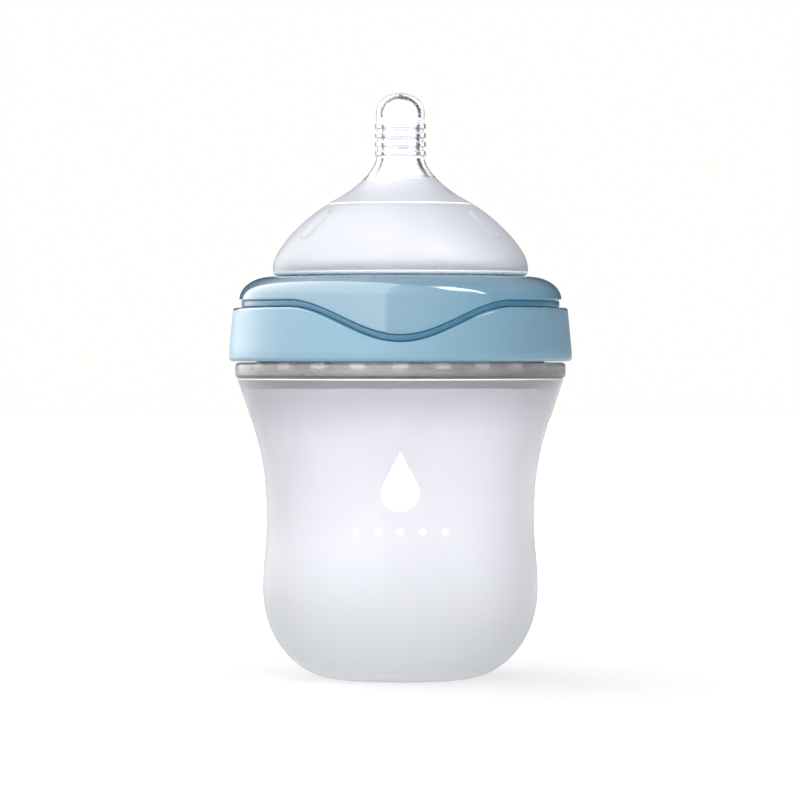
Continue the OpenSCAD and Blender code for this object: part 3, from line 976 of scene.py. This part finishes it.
def stage_plane(name, size):
    half = size / 2
    verts = [(-half, -half, 0), (half, -half, 0), (half, half, 0), (-half, half, 0)]
    floor = solid(name, verts, [(0, 1, 2, 3)])
    return floor


GLOW_EXPONENT = 0.6
GLOW_GAIN = 0.54
GLOW_LEAST = 0.51
SHADOW_CENTRE = (0.01, -0.035, 0.0)


def white_floor():
    """Pale floor that glows more away from a place just in front of the bottle. This deepens the shadow there
    and lets the floor run into the white backdrop."""
    material, tree, shader = new_material("studio_floor")
    space = texture_space(tree)
    colour = tint(tree, noise_field(tree, space, 8), (0.42, 0.42, 0.425), (0.45, 0.45, 0.455))
    tree.links.new(colour, shader.inputs["Base Color"])
    shader.inputs["Roughness"].default_value = 0.6
    shader.inputs["Emission Color"].default_value = (1, 1, 1, 1)
    reach = tree.nodes.new("ShaderNodeVectorMath")
    reach.operation = "DISTANCE"
    reach.inputs[1].default_value = SHADOW_CENTRE
    tree.links.new(space, reach.inputs[0])
    falloff = combine(tree, "POWER", reach.outputs["Value"], GLOW_EXPONENT)
    glow = combine(tree, "ADD", combine(tree, "MULTIPLY", falloff, GLOW_GAIN), GLOW_LEAST)
    tree.links.new(glow, shader.inputs["Emission Strength"])
    return material


stage_plane("studio_floor", 8).data.materials.append(white_floor())


def light_panel(name, centre, away, width, height, radiance, sees, only=()):
    """Rectangular light with its back towards away, for the kinds of ray in sees. It lights all pieces, or
    those in only where that is given."""
    light = bpy.data.lights.new(name, "AREA")
    light.shape = "RECTANGLE"
    light.size = width
    light.size_y = height
    light.energy = radiance * math.pi * width * height
    lamp = bpy.data.objects.new(name, light)
    bpy.context.scene.collection.objects.link(lamp)
    lamp.location = centre
    lamp.rotation_euler = Vector(away).to_track_quat("Z", "Y").to_euler()
    lamp.visible_camera = False
    lamp.visible_diffuse = "diffuse" in sees
    lamp.visible_glossy = "glossy" in sees
    lamp.visible_transmission = "transmission" in sees
    if only:
        receivers = bpy.data.collections.new(name + "_receivers")
        for piece in only:
            receivers.objects.link(bpy.data.objects[piece])
        lamp.light_linking.receiver_collection = receivers


def softbox(name, azimuth, elevation, distance, width, height, radiance, **options):
    """Light panel that faces the bottle. Azimuth 0 is the camera's side, and it grows towards +X."""
    a, e = math.radians(azimuth), math.radians(elevation)
    away = Vector((math.sin(a) * math.cos(e), -math.cos(a) * math.cos(e), math.sin(e)))
    light_panel(name, Vector((0, 0, 0.08)) + away * distance, away, width, height, radiance, **options)


BACKDROP = 1.2
SIDE_LEFT = 0.42
SIDE_RIGHT = 0.26
REAR_SHARE = 0.2

COLLAR_SKIRT = ("collar_skirt_body",)
FLASK = ("flask_body",)
DIFFUSE = ("diffuse",)
GLOSSY = ("glossy",)
THROUGH = ("transmission",)
softbox("front_key", 3, 22, 1.0, 0.8, 0.7, 2.4, sees=DIFFUSE)
softbox("top_key", 0, 88, 1.2, 1.0, 1.0, 1.4, sees=DIFFUSE)
softbox("white_fill", 18, 64, 1.0, 0.9, 0.9, 4.2, sees=DIFFUSE, only=("nipple_body", "emblem_print"))
softbox("mark_fill", 180, 20, 1.0, 0.9, 0.9, 2.6, sees=DIFFUSE, only=("scale_print",))
softbox("flask_fill", -12, 1, 1.0, 0.9, 0.9, 2.5, sees=DIFFUSE, only=("flask_body", "emblem_print"))
light_panel("left_wing", (-1.0, 1.05, 1.7), (-1, 0, 0), 1.4, 3.5, 1.5, sees=GLOSSY, only=COLLAR_SKIRT)
light_panel("backlight", (-0.12, 1.3, 0.46), (0, 1, 0), 1.75, 0.9, BACKDROP, sees=THROUGH,
            only=("neck_ring_body", "nipple_body"))
softbox("flask_backlight", 180, 0, 1.3, 1.4, 0.9, 1.6, sees=THROUGH, only=FLASK)
softbox("ring_light", -20, 8, 1.0, 1.2, 1.0, 4.5, sees=THROUGH, only=("neck_ring_body",))
for azimuth in (-80, 80):
    softbox("side_panel", azimuth, 20, 1.2, 1.1, 1.0, 1.7, sees=THROUGH, only=("nipple_body",))
for azimuth, radiance in ((140, 2.5), (220, 1.2)):
    softbox("back_panel", azimuth, 0, 1.2, 0.7, 1.0, radiance, sees=THROUGH, only=FLASK)


def band(tree, value, low, high, soft):
    rise = soft_step(tree, value, (low - soft, low + soft), (0, 1))
    fall = soft_step(tree, value, (high - soft, high + soft), (1, 0))
    return combine(tree, "MULTIPLY", rise, fall)


def studio_world():
    """White for the camera. Clear pieces look through to dim sides. Shiny ones mirror a tall wall of light on
    the left, a weaker one in front and a narrow window on the right."""
    world = bpy.data.worlds.new("studio")
    bpy.context.scene.world = world
    world.use_nodes = True
    tree = world.node_tree
    background = tree.nodes["Background"]
    split = tree.nodes.new("ShaderNodeSeparateXYZ")
    tree.links.new(tree.nodes.new("ShaderNodeTexCoord").outputs["Generated"], split.inputs["Vector"])
    x, y, z = split.outputs["X"], split.outputs["Y"], split.outputs["Z"]
    sides = combine(tree, "MULTIPLY", soft_step(tree, x, (-0.7, 0.6), (SIDE_LEFT, SIDE_RIGHT)),
                    soft_step(tree, y, (0.25, 0.5), (1.0, REAR_SHARE)))
    through = combine(tree, "ADD", sides, soft_step(tree, y, (-0.55, -0.1), (0.1, 0.0)))

    azimuth = combine(tree, "ARCTAN2", x, combine(tree, "MULTIPLY", y, -1.0))
    degree = math.radians(1)
    wall = band(tree, azimuth, -153 * degree, -10 * degree, 2 * degree)
    front = band(tree, azimuth, -10 * degree, 68 * degree, 2 * degree)
    front_level = soft_step(tree, azimuth, (-10 * degree, 68 * degree), (1.6, 0.6))
    front = combine(tree, "MULTIPLY", front, front_level)
    widened = combine(tree, "ADD", azimuth, soft_step(tree, z, (0.55, 0.8), (0, 18 * degree)))
    window = combine(tree, "MULTIPLY", soft_step(tree, widened, (60 * degree, 66 * degree), (0, 1)),
                     soft_step(tree, azimuth, (66 * degree, 69 * degree), (1, 0)))
    window = combine(tree, "MULTIPLY", window, band(tree, z, 0.42, 0.93, 0.05))
    mirrored = combine(tree, "ADD", combine(tree, "MULTIPLY", wall, 3.3), front)
    mirrored = combine(tree, "ADD", mirrored, combine(tree, "MULTIPLY", window, 12.0))
    overhead = combine(tree, "MULTIPLY", soft_step(tree, z, (0.2, 0.8), (0.1, 1.4)),
                       soft_step(tree, x, (-0.3, 0.4), (1.0, 0.4)))
    mirrored = combine(tree, "ADD", mirrored, overhead)

    rays = tree.nodes.new("ShaderNodeLightPath")
    mirror = combine(tree, "MAXIMUM", combine(tree, "SUBTRACT", rays.outputs["Is Glossy Ray"],
                                              rays.outputs["Is Transmission Ray"]), 0.0)
    strength = blend_values(tree, mirror, through, mirrored)
    white = tree.nodes.new("ShaderNodeMix")
    tree.links.new(rays.outputs["Is Camera Ray"], white.inputs["Factor"])
    tree.links.new(strength, white.inputs["A"])
    white.inputs["B"].default_value = 1.0
    tree.links.new(white.outputs["Result"], background.inputs["Strength"])
    neutral = combine(tree, "MAXIMUM", rays.outputs["Is Camera Ray"], mirror)
    tree.links.new(tint(tree, neutral, (0.75, 0.87, 1.0), (1, 1, 0.98)), background.inputs["Color"])


studio_world()

CAMERA_DISTANCE = 1.05
CAMERA_HEIGHT = 0.0787
AIM_HEIGHT = 0.0667
FRAME_WIDTH = 0.192
CAMERA_X = -0.0001
SENSOR_WIDTH = 36.0

camera_data = bpy.data.cameras.new("camera")
camera_data.lens = SENSOR_WIDTH * CAMERA_DISTANCE / FRAME_WIDTH
camera = bpy.data.objects.new("camera", camera_data)
bpy.context.scene.collection.objects.link(camera)
camera.location = (CAMERA_X, -CAMERA_DISTANCE, CAMERA_HEIGHT)
aim = Vector((CAMERA_X, 0, AIM_HEIGHT)) - camera.location
camera.rotation_euler = aim.to_track_quat("-Z", "Y").to_euler()
bpy.context.scene.camera = camera
bpy.context.scene.view_settings.view_transform = "Standard"
bpy.context.scene.cycles.max_bounces = 32
bpy.context.scene.cycles.transmission_bounces = 32
